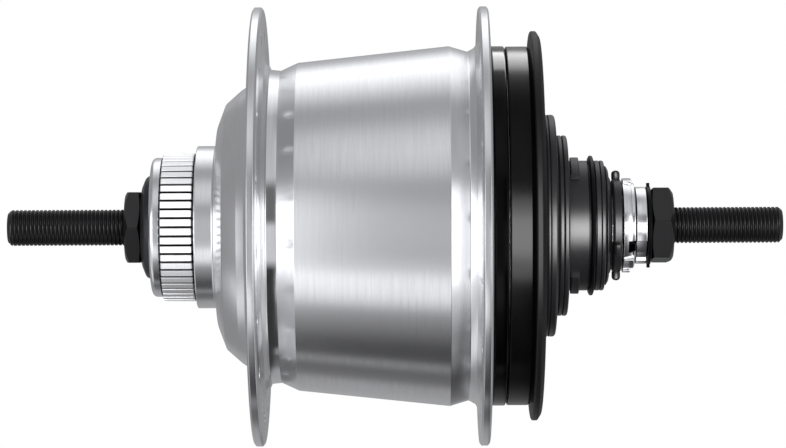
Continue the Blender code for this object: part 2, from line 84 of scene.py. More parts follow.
AXLE_LOW, AXLE_HIGH, AXLE_R = extent("axle")
NUT_L_IN, NUT_L_OUT, _ = extent("locknut_left")
NUT_R_OUT, NUT_R_IN, _ = extent("locknut_right")
RING_LOW, RING_HIGH, RING_R = extent("end_ring")
COVER_LOW, COVER_HIGH, COVER_R = extent("drum_cover")
SHELL_LOW, SHELL_HIGH, FLANGE_R = extent("hub_shell")
DRIVER_LOW, DRIVER_HIGH, DRIVER_REACH = extent("driver")
SNAP_LOW, SNAP_HIGH, SNAP_R = extent("snap_ring")
CAP_L_LOW, CAP_L_HIGH, CAP_L_R = extent("dust_cap_left")
CAP_R_LOW, CAP_R_HIGH, CAP_R_R = extent("dust_cap_right")
LEVER_LOW, LEVER_HIGH, _ = extent("lever_ring")
SHIFT_LOW, SHIFT_HIGH, _ = extent("shift_ring")
COLLAR_LOW, COLLAR_HIGH, COLLAR_R = extent("guide_collar")
WASHER_LOW, WASHER_HIGH, WASHER_R = extent("stop_washer")


# ---------------------------------------------------------------- sizes that only the looks need

THREAD_PITCH = 25.4 / 26
THREAD_DEPTH = 0.62
THREAD_FLANK = 1.25  # over 1, so that the roots are flat; the crests are pointed
THREAD_LENGTH = 38.0  # at each end of the axle
FLAT_HALF = 4.32
FLAT_LENGTH = THREAD_LENGTH - 2
AXLE_CHAMFER = 1.2
NUT_ACROSS_FLATS = 17.0
NUT_CLEARANCE = 0.45

FLANGE_HALF = 1.2
FLANGE_LEFT_Y, FLANGE_RIGHT_Y = 32.7, SHELL_LOW + FLANGE_HALF
NECK_LOW, NECK_HIGH = 27.3, 29.7  # the polished band beside the left flange
SPOKES_PER_FLANGE = 18
SPOKE_CIRCLE_R = 92.6 / 2
SPOKE_HOLE_R = 1.45
SPOKE_COUNTERSINK = 0.35
FIRST_SPOKE = math.radians(3)

SPLINE_TEETH = 52
SPLINE_LOW, SPLINE_HIGH = 48.1, 55.7
SPLINE_BORE_R, SPLINE_ROOT_R, SPLINE_TIP_R = 15.2, 16.2, 17.9

DRUM_BORE_R, DRUM_R = 38.6, 43.3
DRUM_STEP_Y = COVER_LOW + 2.3  # where the drum ends and its wider rim starts
RIM_BORE_R = 28.0

WIDE_STEP_R, NARROW_STEP_R = 26.8, 21.8  # the driver's two discs
SEAT_LOW, SEAT_HIGH, SEAT_ROOT_R, SEAT_R = -44.1, -42.0, 15.7, 17.1
FIRST_LUG, LUG_HALF = math.radians(330), math.radians(14)

SHIFT_R, SHIFT_STEP_R = 10.9, 10.3


# ---------------------------------------------------------------- shapes


def polar(y, r, angle):
    """A point in metres, from millimetres along and off the axle and an angle round it."""
    return Vector((r * math.sin(angle) * MM, y * MM, r * math.cos(angle) * MM))


def spread(count, start=0.0):
    """Angles spread evenly all the way round."""
    return [start + math.tau * k / count for k in range(count)]


SMOOTH = spread(240)  # where a large turned piece has its vertices
SMALL_SMOOTH = SMOOTH[::2]
CORNER_SHARE = 0.48  # how much of a side one rounded corner may take


def rounded(outline):
    """A closed outline with its rounded corners drawn as arcs."""
    points = []
    count = len(outline)
    for k, corner in enumerate(outline):
        here = Vector(corner[:2])
        radius = corner[2] if len(corner) > 2 else 0.0
        to_last = Vector(outline[k - 1][:2]) - here
        to_next = Vector(outline[(k + 1) % count][:2]) - here
        if not radius:
            points.append(tuple(here))
            continue
        limit = CORNER_SHARE * min(to_last.length, to_next.length)
        to_last.normalize()
        to_next.normalize()
        half = to_last.angle(to_next) / 2
        setback = min(radius / math.tan(half), limit)
        radius = setback * math.tan(half)
        centre = here + (to_last + to_next).normalized() * (radius / math.sin(half))
        start = here + to_last * setback - centre
        end = here + to_next * setback - centre
        sweep = start.angle_signed(end)
        steps = max(2, math.ceil(abs(sweep) / ARC_STEP))
        for s in range(steps + 1):
            turn = Matrix.Rotation(-sweep * s / steps, 2)
            points.append(tuple(centre + turn @ start))
    return points


def build(name, shape, sharp=SHARP_ANGLE):
    """A smooth-shaded object from a bmesh, with its faces pointing out."""
    bmesh.ops.recalc_face_normals(shape, faces=shape.faces)
    mesh = bpy.data.meshes.new(name)
    shape.to_mesh(mesh)
    shape.free()
    mesh.shade_smooth()
    mesh.set_sharp_from_angle(angle=sharp)
    obj = bpy.data.objects.new(name, mesh)
    bpy.context.scene.collection.objects.link(obj)
    return obj


def bridge(shape, first, second):
    """Faces between two closed rings of as many vertices."""
    for k in range(len(first)):
        n = (k + 1) % len(first)
        shape.faces.new((first[k], first[n], second[n], second[k]))


def lathe(name, outline, angles, reach=None):
    """A ring turned from a closed outline. reach(y, r, angle) may change r round the axis."""
    shape = bmesh.new()
    rings = []
    for y, r in rounded(outline):
        rings.append([shape.verts.new(polar(y, reach(y, r, a) if reach else r, a)) for a in angles])
    for first, second in zip(rings, rings[1:] + rings[:1]):
        bridge(shape, first, second)
    return build(name, shape)


def block(name, angle, half_width, r_low, r_high, y_low, y_high, rounding):
    """A raised lug that follows the round of the axis, with its edges rounded."""
    shape = bmesh.new()
    steps = max(1, round(half_width / LUG_STEP))
    ends = []
    for y in (y_low, y_high):
        arc = [(r_low, -half_width), (r_low, half_width)]
        arc += [(r_high, half_width - 2 * half_width * s / steps) for s in range(steps + 1)]
        ends.append([shape.verts.new(polar(y, r, angle + a)) for r, a in arc])
    bridge(shape, *ends)
    shape.faces.new(ends[0])
    shape.faces.new(ends[1])
    bmesh.ops.recalc_face_normals(shape, faces=shape.faces)
    edges = [e for e in shape.edges if e.is_manifold and e.calc_face_angle() > SHARP_ANGLE]
    bmesh.ops.bevel(shape, geom=edges, offset=rounding * MM, segments=3, affect="EDGES", profile=0.5)
    return build(name, shape)


def spoke_hole(angle, y_low, y_high):
    """A cutter for one spoke hole through a flange, countersunk from both sides."""
    shape = bmesh.new()
    sides = 24
    outside = 2.0
    centre = polar(0.0, SPOKE_CIRCLE_R, angle)
    wide_r = SPOKE_HOLE_R + SPOKE_COUNTERSINK + outside
    stations = [
        (y_low - outside, wide_r),
        (y_low + SPOKE_COUNTERSINK, SPOKE_HOLE_R),
        (y_high - SPOKE_COUNTERSINK, SPOKE_HOLE_R),
        (y_high + outside, wide_r),
    ]
    rings = []
    for y, r in stations:
        rings.append([shape.verts.new(centre + polar(y, r, turn)) for turn in spread(sides)])
    for first, second in zip(rings, rings[1:]):
        bridge(shape, first, second)
    shape.faces.new(rings[0])
    shape.faces.new(rings[-1])
    return build("hole", shape)


def merge(name, target, tool, operation):
    """Join a tool to the target, or cut it from it, and leave one plain mesh."""
    step = target.modifiers.new("merge", "BOOLEAN")
    step.operation = operation
    step.solver = "EXACT"
    step.object = tool
    bpy.context.view_layer.update()
    graph = bpy.context.evaluated_depsgraph_get()
    mesh = bpy.data.meshes.new_from_object(target.evaluated_get(graph))
    for obj in (target, tool):
        bpy.data.objects.remove(obj, do_unlink=True)
    mesh.shade_smooth()
    mesh.set_sharp_from_angle(angle=SHARP_ANGLE)
    mesh.name = name
    obj = bpy.data.objects.new(name, mesh)
    bpy.context.scene.collection.objects.link(obj)
    return obj


def one_tool(objects):
    """Several separate shapes as one cutting or joining tool."""
    shape = bmesh.new()
    for obj in objects:
        shape.from_mesh(obj.data)
        bpy.data.objects.remove(obj, do_unlink=True)
    return build("tool", shape)


def fit(piece, body, slot, material, *nodes):
    """Hang a piece on its body in place of the CAD nodes it stands for."""
    piece.data.materials.clear()
    piece.data.materials.append(material)
    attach(piece, body)
    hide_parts(*nodes)


# ---------------------------------------------------------------- materials

MARK_BREAKS = 90.0  # how often a turning mark stops along its way round
MARK_SLANT = 1.3  # how much a step outwards counts, beside a step along the axle
POLISH, POLISH_FADE = 0.13, 0.1  # how much smoother a polished band is, and how it ends in mm
# the colour of the painted shade in the bottoms of gaps and recesses
GAP_SHADE = (0.03, 0.03, 0.03, 1.0)


def calculate(tree, operation, first, second=None):
    """A math node's result, where each input is a number or another node's socket."""
    node = tree.nodes.new("ShaderNodeMath")
    node.operation = operation
    for socket, value in zip(node.inputs, (first, second)):
        if isinstance(value, (int, float)):
            socket.default_value = value
        elif value is not None:
            tree.links.new(value, socket)
    return node.outputs[0]


class Surface:
    """A procedural material: a Principled shader with nodes added to it."""

    def __init__(self, name, colour, metallic, roughness):
        self.material = bpy.data.materials.new(name)
        self.material.use_nodes = True
        self.nodes = self.material.node_tree.nodes
        self.links = self.material.node_tree.links
        self.shader = self.nodes["Principled BSDF"]
        self.shader.inputs["Base Color"].default_value = (*colour, 1.0)
        self.shader.inputs["Metallic"].default_value = metallic
        self.shader.inputs["Roughness"].default_value = roughness
        self.coordinates = self.nodes.new("ShaderNodeTexCoord").outputs["Object"]

    def math(self, operation, first, second=None):
        return calculate(self.material.node_tree, operation, first, second)

    def mixed(self, first, second, share):
        """Two noises added up, the first with its share of 1 and the second with the rest."""
        part = self.math("MULTIPLY", first, share)
        return self.math("ADD", part, self.math("MULTIPLY", second, 1.0 - share))

    def place(self):
        """Where a point is: across, along and up, and how far from the axle."""
        split = self.nodes.new("ShaderNodeSeparateXYZ")
        self.links.new(self.coordinates, split.inputs[0])
        x, y, z = split.outputs
        squares = self.math("ADD", self.math("MULTIPLY", x, x), self.math("MULTIPLY", z, z))
        return x, y, z, self.math("SQRT", squares)

    def turned_coordinates(self, along, around):
        """Coordinates that run quickly across a turned surface and slowly round it."""
        x, y, z, reach = self.place()
        slant = self.math("ADD", y, self.math("MULTIPLY", reach, MARK_SLANT))
        across = self.math("MULTIPLY", slant, along)
        joined = self.nodes.new("ShaderNodeCombineXYZ")
        self.links.new(across, joined.inputs[0])
        self.links.new(self.math("MULTIPLY", x, around), joined.inputs[1])
        self.links.new(self.math("MULTIPLY", z, around), joined.inputs[2])
        return joined.outputs[0]

    def noise(self, scale, detail=3.0, rough=0.5, coordinates=None):
        node = self.nodes.new("ShaderNodeTexNoise")
        node.inputs["Scale"].default_value = scale
        node.inputs["Detail"].default_value = detail
        node.inputs["Roughness"].default_value = rough
        self.links.new(coordinates or self.coordinates, node.inputs["Vector"])
        return node.outputs["Fac"]

    def spread_between(self, value, low, high, start=0.3, stop=0.7):
        """Map a value to a range of numbers, and hold it at the ends of the range."""
        node = self.nodes.new("ShaderNodeMapRange")
        node.inputs["From Min"].default_value = start
        node.inputs["From Max"].default_value = stop
        node.inputs["To Min"].default_value = low
        node.inputs["To Max"].default_value = high
        self.links.new(value, node.inputs["Value"])
        return node.outputs["Result"]

    def band(self, y_low, y_high, fade):
        """1 between two places along the axle, in millimetres, and 0 elsewhere."""
        along = self.place()[1]
        rise = self.spread_between(along, 0.0, 1.0, (y_low - fade) * MM, y_low * MM)
        fall = self.spread_between(along, 1.0, 0.0, y_high * MM, (y_high + fade) * MM)
        return self.math("MULTIPLY", rise, fall)

    def roughness(self, value):
        self.links.new(value, self.shader.inputs["Roughness"])

    def colours(self, value, dark, light, start, stop):
        """Base colour that goes from one tone to the other as the value goes from start to stop."""
        ramp = self.nodes.new("ShaderNodeValToRGB")
        ramp.color_ramp.elements[0].position = start
        ramp.color_ramp.elements[0].color = (*dark, 1.0)
        ramp.color_ramp.elements[1].position = stop
        ramp.color_ramp.elements[1].color = (*light, 1.0)
        self.links.new(value, ramp.inputs["Fac"])
        self.links.new(ramp.outputs["Color"], self.shader.inputs["Base Color"])

    def paint_shade_below(self, r_low, r_high):
        """Painted shade: darkens the base colour near the axle, in the bottoms of gaps and recesses."""
        colour = self.shader.inputs["Base Color"].links[0].from_socket
        unshaded = self.spread_between(self.place()[3], 0.0, 1.0, r_low * MM, r_high * MM)
        mix = self.nodes.new("ShaderNodeMix")
        mix.data_type = "RGBA"
        mix.inputs["A"].default_value = GAP_SHADE
        self.links.new(unshaded, mix.inputs["Factor"])
        self.links.new(colour, mix.inputs["B"])
        self.links.new(mix.outputs["Result"], self.shader.inputs["Base Color"])

    def bump(self, value, strength, distance):
        node = self.nodes.new("ShaderNodeBump")
        node.inputs["Strength"].default_value = strength
        node.inputs["Distance"].default_value = distance
        self.links.new(value, node.inputs["Height"])
        self.links.new(node.outputs["Normal"], self.shader.inputs["Normal"])

    def brushed(self, amount):
        """Highlights stretched across the fine turning marks."""
        tangent = self.nodes.new("ShaderNodeTangent")
        tangent.direction_type = "RADIAL"
        tangent.axis = "Y"
        self.shader.inputs["Anisotropic"].default_value = amount
        self.shader.inputs["Anisotropic Rotation"].default_value = 0.25
        self.links.new(tangent.outputs[0], self.shader.inputs["Tangent"])


def turned_metal(name, dark, light, roughness, marks, bump, brushing, polished=None, painted_shade=None):
    """Bright metal with fine marks round it.

    roughness is its lowest and highest value, marks how close the marks stand, polished the
    stretch of y that shines sharper, and the last the radii between which the painted shade near the
    axle fades out.
    """
    low, high = roughness
    surface = Surface(name, light, 1.0, low)
    lines = surface.noise(1.0, 4.0, 0.65, surface.turned_coordinates(marks, MARK_BREAKS))
    uneven = surface.mixed(lines, surface.noise(60.0, 3.0), 0.75)
    surface.colours(uneven, dark, light, 0.35, 0.62)
    rough = surface.spread_between(uneven, high, low)
    if polished:
        shine = surface.math("MULTIPLY", surface.band(*polished, POLISH_FADE), POLISH)
        rough = surface.math("SUBTRACT", rough, shine)
    surface.roughness(rough)
    surface.bump(lines, bump, 0.00005)
    surface.brushed(brushing)
    if painted_shade:
        surface.paint_shade_below(*painted_shade)
    return surface.material


def black_finish(name, tone, roughness, gloss, grain, bump):
    """A black coat, slightly uneven; gloss is its specular level and grain how fine its bumps are."""
    low, high = roughness
    surface = Surface(name, tone, 0.0, low)
    fine = surface.noise(grain, 5.0, 0.6)
    uneven = surface.mixed(fine, surface.noise(90.0, 2.0), 0.6)
    lighter = tuple(1.6 * c for c in tone)
    surface.colours(uneven, tone, lighter, 0.4, 0.65)
    surface.roughness(surface.spread_between(uneven, low, high))
    surface.bump(fine, bump, 0.00004)
    surface.shader.inputs["Specular IOR Level"].default_value = gloss
    return surface.material


SHELL = turned_metal(
    "brushed_aluminium",
    (0.77, 0.772, 0.78),
    (0.82, 0.822, 0.83),
    roughness=(0.2, 0.26),
    marks=2600,
    bump=0.1,
    brushing=0.45,
    polished=(NECK_LOW, NECK_HIGH + 0.2),
)
MACHINED = turned_metal(
    "machined_teeth",
    (0.86, 0.862, 0.87),
    (0.92, 0.922, 0.93),
    roughness=(0.5, 0.6),
    marks=2200,
    bump=0.05,
    brushing=0.0,
    # painted shade: the gaps between the teeth darken towards their roots
    painted_shade=(SPLINE_TIP_R - 0.4, SPLINE_TIP_R - 0.04),
)
ZINC_DARK, ZINC_LIGHT = (0.78, 0.78, 0.79), (0.92, 0.92, 0.93)
ZINC_ROUGH = (0.14, 0.24)
BRIGHT = turned_metal("bright_zinc", ZINC_DARK, ZINC_LIGHT, ZINC_ROUGH, 3200, 0.06, 0.2)
SHIFT_ZINC = turned_metal(
    "bright_zinc_painted_shade",
    ZINC_DARK,
    ZINC_LIGHT,
    ZINC_ROUGH,
    marks=3200,
    bump=0.06,
    brushing=0.2,
    # painted shade: dark inside the notch and on the end faces near the bore
    painted_shade=(SHIFT_STEP_R - 0.9, SHIFT_STEP_R - 0.15),
)
GEAR = turned_metal(
    "oiled_gear_steel", (0.26, 0.26, 0.27), (0.42, 0.42, 0.43), (0.26, 0.4), 3000, 0.08, 0.2
)
SPRING = turned_metal(
    "blued_spring_steel", (0.14, 0.15, 0.19), (0.28, 0.29, 0.34), (0.28, 0.4), 2400, 0.08, 0.2
)
PAINT = black_finish("black_gloss_paint", (0.001, 0.001, 0.0014), (0.1, 0.15), 0.12, 900, 0.04)
SATIN = black_finish("black_satin_paint", (0.0006, 0.0006, 0.0007), (0.2, 0.26), 0.11, 1200, 0.04)
MATT = black_finish("black_matt_paint", (0.0015, 0.0015, 0.0017), (0.4, 0.48), 0.22, 1200, 0.06)
OXIDE = black_finish("black_oxide_steel", (0.004, 0.004, 0.0045), (0.3, 0.38), 0.35, 2600, 0.08)
DARK_OXIDE = black_finish("black_spring_steel", (0.003, 0.003, 0.0035), (0.34, 0.42), 0.15, 2600, 0.08)
THREAD_BLACK = black_finish("black_rolled_thread", (0.005, 0.005, 0.0055), (0.34, 0.44), 0.5, 2600, 0.1)
NUT_BLACK = black_finish("black_nut_steel", (0.006, 0.006, 0.0065), (0.32, 0.4), 0.6, 2600, 0.1)
PLASTIC = black_finish("black_moulded_plastic", (0.004, 0.004, 0.0045), (0.3, 0.42), 0.3, 3000, 0.06)


# ---------------------------------------------------------------- hub shell

# one spline tooth, from the middle of the gap before it: shares of a pitch, and how far up the tooth
TOOTH_STEPS = (
    (0.0, 0.0),
    (0.12, 0.0),
    (0.135, 0.95),
    (0.155, 1.0),
    (0.5, 1.0),
    (0.845, 1.0),
    (0.865, 0.95),
    (0.88, 0.0),
)


def spline_angles():
    angles = []
    for tooth in range(SPLINE_TEETH):
        angles += [math.tau * (tooth + share) / SPLINE_TEETH for share, _ in TOOTH_STEPS]
    return angles


def spline_reach(y, r, angle):
    """Raises the disc spline's teeth out of the plain boss."""
    if r < SPLINE_ROOT_R - 0.01:
        return r
    share = (angle * SPLINE_TEETH / math.tau + 0.001) % 1.0
    height = [up for start, up in TOOTH_STEPS if start <= share][-1]
    return SPLINE_ROOT_R + (r - SPLINE_ROOT_R) * height


def make_spline():
    """The disc rotor's seat: a splined ring round the shell's left boss."""
    edge = 0.25
    outline = [
        (SPLINE_HIGH, SPLINE_BORE_R),
        (SPLINE_HIGH, SPLINE_ROOT_R),
        (SPLINE_HIGH, SPLINE_TIP_R - edge),
        (SPLINE_HIGH - edge, SPLINE_TIP_R),
        (SPLINE_LOW + edge, SPLINE_TIP_R),
        (SPLINE_LOW, SPLINE_TIP_R - edge),
        (SPLINE_LOW, SPLINE_ROOT_R),
        (SPLINE_LOW, SPLINE_BORE_R),
    ]
    teeth = lathe("spline_fine", outline, spline_angles(), spline_reach)
    fit(teeth, "shell", "shell_aluminium", MACHINED, "hub_shell")


def make_hub_shell():
    """The shell from its left boss over both flanges to the drive side, and back along its inside."""
    left, right, half, rim = FLANGE_LEFT_Y, FLANGE_RIGHT_Y, FLANGE_HALF, FLANGE_R
    outline = [
        (SHELL_HIGH, 13.3, 0.3),
        (SHELL_HIGH, 16.8, 1.4),
        (SPLINE_HIGH + 0.3, 16.8, 0.2),
        (SPLINE_HIGH + 0.1, 16.0),
        (SPLINE_LOW, 15.6),
        (47.6, 16.3),
        (47.6, 19.6, 0.3),
        (43.0, 19.6, 0.5),
        (42.5, 24.4, 2.4),
        (40.5, 29.7, 1.2),
        (36.9, 32.9, 0.8),
        (left + 2.0, 34.4, 1.2),
        (left + half, 41.0, 3.0),
        (left + half, rim - 0.6, 0.15),
        (left + 0.75, rim, 0.15),
        (left - 0.75, rim, 0.15),
        (left - half, rim - 0.6, 0.15),
        (left - half, 41.4, 0.6),
        (30.9, 39.5, 0.4),
        (30.0, 38.7, 0.2),
        (NECK_HIGH, 37.95, 0.15),
        (NECK_LOW, 37.7, 0.15),
        (23.2, 39.6, 0.5),
        (-13.1, 43.45, 0.5),
        (-17.6, 42.1, 0.5),
        (-19.2, 43.0, 0.3),
        (right + half, 44.6, 0.5),
        (right + half, rim - 0.6, 0.15),
        (right + 0.75, rim, 0.15),
        (right - 0.75, rim, 0.15),
        (right - half, rim - 0.6, 0.15),
        (right - half, DRUM_BORE_R, 0.3),
        (-14.0, 38.9),
        (22.0, 35.5),
        (28.0, 33.4),
        (33.5, 31.0),
        (37.0, 27.8),
        (38.8, 23.0),
        (39.6, 14.3),
        (52.5, 14.3),
        (52.5, 13.3),
    ]
    shell = lathe("shell_turned", outline, SMOOTH)
    holes = []
    for y, start in ((left, FIRST_SPOKE), (right, FIRST_SPOKE + math.pi / SPOKES_PER_FLANGE)):
        for angle in spread(SPOKES_PER_FLANGE, start):
            holes.append(spoke_hole(angle, y - half, y + half))
    shell = merge("hub_shell_fine", shell, one_tool(holes), "DIFFERENCE")
    fit(shell, "shell", "shell_aluminium", SHELL, "hub_shell")


def make_shell_end():
    """The black end ring, and the drum cover with its satin barrel and its wider matt rim."""
    ring = [
        (RING_LOW, DRUM_BORE_R),
        (RING_LOW, RING_R, 0.45),
        (RING_HIGH, RING_R, 0.45),
        (RING_HIGH, DRUM_BORE_R),
    ]
    fit(lathe("end_ring_fine", ring, SMOOTH), "shell", "black_painted", PAINT, "end_ring")
    drum = [
        (COVER_HIGH, DRUM_BORE_R),
        (COVER_HIGH, DRUM_R, 0.4),
        (DRUM_STEP_Y + 0.9, DRUM_R, 0.3),
        (DRUM_STEP_Y, DRUM_R - 0.6),
        (DRUM_STEP_Y, DRUM_BORE_R),
    ]
    fit(lathe("drum_fine", drum, SMOOTH), "shell", "black_painted", SATIN, "drum_cover")
    rim = [
        (DRUM_STEP_Y, DRUM_BORE_R),
        (DRUM_STEP_Y, DRUM_R - 0.7),
        (DRUM_STEP_Y - 0.3, DRUM_R - 0.1, 0.3),
        (DRUM_STEP_Y, DRUM_R + 0.9, 0.3),
        (DRUM_STEP_Y, COVER_R, 0.5),
        (COVER_LOW + 0.9, COVER_R, 0.5),
        (COVER_LOW, COVER_R - 1.4, 0.8),
        (COVER_LOW, RIM_BORE_R, 0.4),
        (-30.2, RIM_BORE_R),
        (-30.2, 31.0),
        (-33.0, 31.6),
        (-33.0, DRUM_BORE_R),
    ]
    fit(lathe("drum_rim_fine", rim, SMOOTH), "shell", "black_painted", MATT, "drum_cover")


# ---------------------------------------------------------------- driver


def seat_reach(y, r, angle):
    """Leaves three lugs standing round the sprocket seat."""
    if not (SEAT_LOW <= y <= SEAT_HIGH and r > SEAT_ROOT_R):
        return r
    away = (angle - FIRST_LUG + math.pi / 3) % (math.tau / 3) - math.pi / 3
    return r if abs(away) < LUG_HALF else SEAT_ROOT_R


def make_driver():
    """The sprocket carrier: two steps with their grooves, the seat with its lugs, and the bore."""
    outline = [
        (DRIVER_HIGH, 17.0),
        (DRIVER_HIGH, DRIVER_REACH, 0.3),
        (-28.9, DRIVER_REACH, 0.3),
        (-28.9, 21.6, 0.5),
        (-35.3, 21.6),
        (-35.3, WIDE_STEP_R - 0.4, 0.4),
        (-36.2, WIDE_STEP_R, 0.4),
        (-36.6, WIDE_STEP_R, 0.1),
        (-36.75, WIDE_STEP_R - 0.25),
        (-36.9, WIDE_STEP_R, 0.1),
        (-38.5, WIDE_STEP_R, 0.7),
        (-38.5, 21.9, 0.2),
        (-38.9, 21.4),
        (-39.2, NARROW_STEP_R, 0.3),
        (-39.95, NARROW_STEP_R, 0.15),
        (-40.15, NARROW_STEP_R - 0.35),
        (-40.35, NARROW_STEP_R, 0.15),
        (-41.4, NARROW_STEP_R, 0.7),
        (-41.4, SEAT_ROOT_R, 0.3),
        (SEAT_HIGH + 0.05, SEAT_ROOT_R),
        (SEAT_HIGH, SEAT_ROOT_R),
        (SEAT_HIGH, SEAT_R, 0.3),
        (SEAT_LOW, SEAT_R, 0.3),
        (SEAT_LOW, SEAT_ROOT_R),
        (SEAT_LOW - 0.05, SEAT_ROOT_R),
        (-46.3, SEAT_ROOT_R, 0.2),
        (-46.45, 15.0),
        (-47.9, 15.0),
        (-48.05, SEAT_ROOT_R, 0.2),
        (-49.1, SEAT_ROOT_R, 0.1),
        (-49.25, 15.3),
        (-49.4, SEAT_ROOT_R, 0.1),
        (DRIVER_LOW, SEAT_ROOT_R, 0.4),
        (DRIVER_LOW, 12.3, 0.2),
        (-46.6, 12.3),
        (-45.4, 11.6),
        (-40.0, 11.6),
        (-38.0, 17.0),
    ]
    driver = lathe("driver_fine", outline, SMOOTH, seat_reach)
    fit(driver, "driver", "black_steel", OXIDE, "driver")


def make_snap_ring():
    bore_r = 15.1
    snap = [
        (SNAP_HIGH - 0.4, bore_r),
        (SNAP_HIGH - 0.4, SNAP_R - 0.6, 0.2),
        (SNAP_HIGH - 0.7, SNAP_R, 0.3),
        (SNAP_LOW + 0.4, SNAP_R, 0.3),
        (SNAP_LOW + 0.2, SNAP_R - 0.6, 0.2),
        (SNAP_LOW + 0.2, bore_r),
    ]
    fit(lathe("snap_ring_fine", snap, SMALL_SMOOTH), "driver", "black_steel", DARK_OXIDE, "snap_ring")


def make_right_dust_cap():
    bore_r = 8.4
    cap = [
        (CAP_R_HIGH, bore_r),
        (CAP_R_HIGH, CAP_R_R, 0.15),
        (-51.3, 13.6, 0.3),
        (-51.5, 12.0, 0.1),
        (CAP_R_LOW, 11.3, 0.1),
        (CAP_R_LOW, bore_r, 0.1),
    ]
    piece = lathe("dust_cap_right_fine", cap, SMALL_SMOOTH)
    fit(piece, "driver", "black_plastic", PLASTIC, "dust_cap_right")


# ---------------------------------------------------------------- axle unit


def make_axle():
    """The threaded bar, with a real helix cut short by the two flats."""
    shape = bmesh.new()
    sides = 64
    flat = FLAT_HALF * MM
    thread_step, plain_step = THREAD_PITCH / 8, 6.0
    stations = []
    y = AXLE_LOW
    while y < AXLE_HIGH:
        stations.append(y)
        near_end = min(y - AXLE_LOW, AXLE_HIGH - y)
        y += thread_step if near_end < THREAD_LENGTH else plain_step
    stations.append(AXLE_HIGH)
    rings = []
    for y in stations:
        ring = []
        near_end = min(y - AXLE_LOW, AXLE_HIGH - y)
        for angle in spread(sides):
            phase = (y / THREAD_PITCH - angle / math.tau) % 1.0
            groove = THREAD_DEPTH * min(1.0, THREAD_FLANK * abs(2 * phase - 1.0))
            r = AXLE_R - (groove if near_end < THREAD_LENGTH else THREAD_DEPTH / 2)
            r = min(r, AXLE_R - AXLE_CHAMFER + near_end)
            point = polar(y, r, angle)
            if near_end < FLAT_LENGTH:
                point.z = max(-flat, min(flat, point.z))
            ring.append(shape.verts.new(point))
        rings.append(ring)
    for first, second in zip(rings, rings[1:]):
        bridge(shape, first, second)
    shape.faces.new(rings[0])
    shape.faces.new(rings[-1])
    piece = build("axle_fine", shape, math.radians(50))
    fit(piece, "axle_unit", "black_steel", THREAD_BLACK, "axle")


def make_locknut(name, inner_y, outer_y, turn, chamfer, node):
    """A hexagon nut: a prism whose outer edge, and slightly its inner edge, is turned to a cone."""
    out = 1 if outer_y > inner_y else -1
    bore_r = AXLE_R + NUT_CLEARANCE
    flat_r = NUT_ACROSS_FLATS / 2
    corner_r = flat_r / math.cos(math.pi / 6)
    inner_r, outer_r = flat_r - 0.1, flat_r - 0.55
    inner_chamfer, bore_chamfer = 0.45, 0.45

    def hexagon(y, r, angle):
        away = (angle - turn) % (math.pi / 3) - math.pi / 6
        return min(r, flat_r / math.cos(away))

    shares = [k / 10 for k in range(11)]
    outline = [(inner_y, bore_r), (inner_y, inner_r)]
    for share in shares:
        outline.append((inner_y + out * inner_chamfer * share, inner_r + share * (corner_r - inner_r)))
    for share in shares:
        y = outer_y - out * chamfer * (1 - share)
        outline.append((y, corner_r - share * (corner_r - outer_r)))
    outline.append((outer_y, bore_r + bore_chamfer))
    outline.append((outer_y - out * bore_chamfer, bore_r))
    nut = lathe(name, outline, [turn + a for a in SMOOTH], hexagon)
    nut.data.set_sharp_from_angle(angle=math.radians(18))
    fit(nut, "axle_unit", "black_steel", NUT_BLACK, node)


def make_left_dust_cap():
    bore_r = 7.6
    cap = [
        (CAP_L_LOW, bore_r),
        (CAP_L_LOW, CAP_L_R),
        (58.6, CAP_L_R, 0.5),
        (60.0, 12.0, 1.2),
        (CAP_L_HIGH, 9.8, 0.4),
        (CAP_L_HIGH, bore_r, 0.1),
    ]
    piece = lathe("dust_cap_left_fine", cap, SMALL_SMOOTH)
    fit(piece, "axle_unit", "black_plastic", PLASTIC, "dust_cap_left")


def make_collar():
    """The fixed collar, with a stretch of its round set a little deeper."""
    bore_r = AXLE_R + 0.4
    recess_from, recess_to, recess_depth = 205, 243, 0.7

    def collar_reach(y, r, angle):
        recessed = recess_from <= math.degrees(angle) % 360 <= recess_to
        outside = r > (bore_r + COLLAR_R) / 2
        return r - recess_depth if recessed and outside else r

    collar = [
        (COLLAR_HIGH, bore_r),
        (COLLAR_HIGH, COLLAR_R, 0.25),
        (COLLAR_LOW, COLLAR_R, 0.25),
        (COLLAR_LOW, bore_r),
    ]
    ring = lathe("guide_collar_fine", collar, SMALL_SMOOTH, collar_reach)
    fit(ring, "axle_unit", "bright_steel", BRIGHT, "guide_collar")


def make_stop_washer():
    """A thin washer with two tabs, one on top and one at the bottom."""
    bore_r, disc_r = AXLE_R + 0.4, 9.5
    washer = [
        (WASHER_HIGH, bore_r),
        (WASHER_HIGH, disc_r, 0.2),
        (WASHER_LOW, disc_r, 0.2),
        (WASHER_LOW, bore_r),
    ]
    disc = lathe("stop_washer_disc", washer, SMALL_SMOOTH)
    tab_low, tab_high = WASHER_LOW + 0.1, WASHER_HIGH - 0.1
    tabs = []
    for angle in spread(2):
        tabs.append(block("tab", angle, math.radians(6), 9.0, WASHER_R, tab_low, tab_high, 0.12))
    piece = merge("stop_washer_fine", disc, one_tool(tabs), "UNION")
    fit(piece, "axle_unit", "black_steel", DARK_OXIDE, "stop_washer")


# ---------------------------------------------------------------- shifting parts

# the shift ring's raised lugs: angle and half width in degrees, and how far in from its outer end
SHIFT_LUGS = ((180, 14, 0.9), (214, 9, 0.3), (0, 20, 0.6), (100, 24, 0.6))
KNOB_ANGLES = (0, 120, 180, 243)


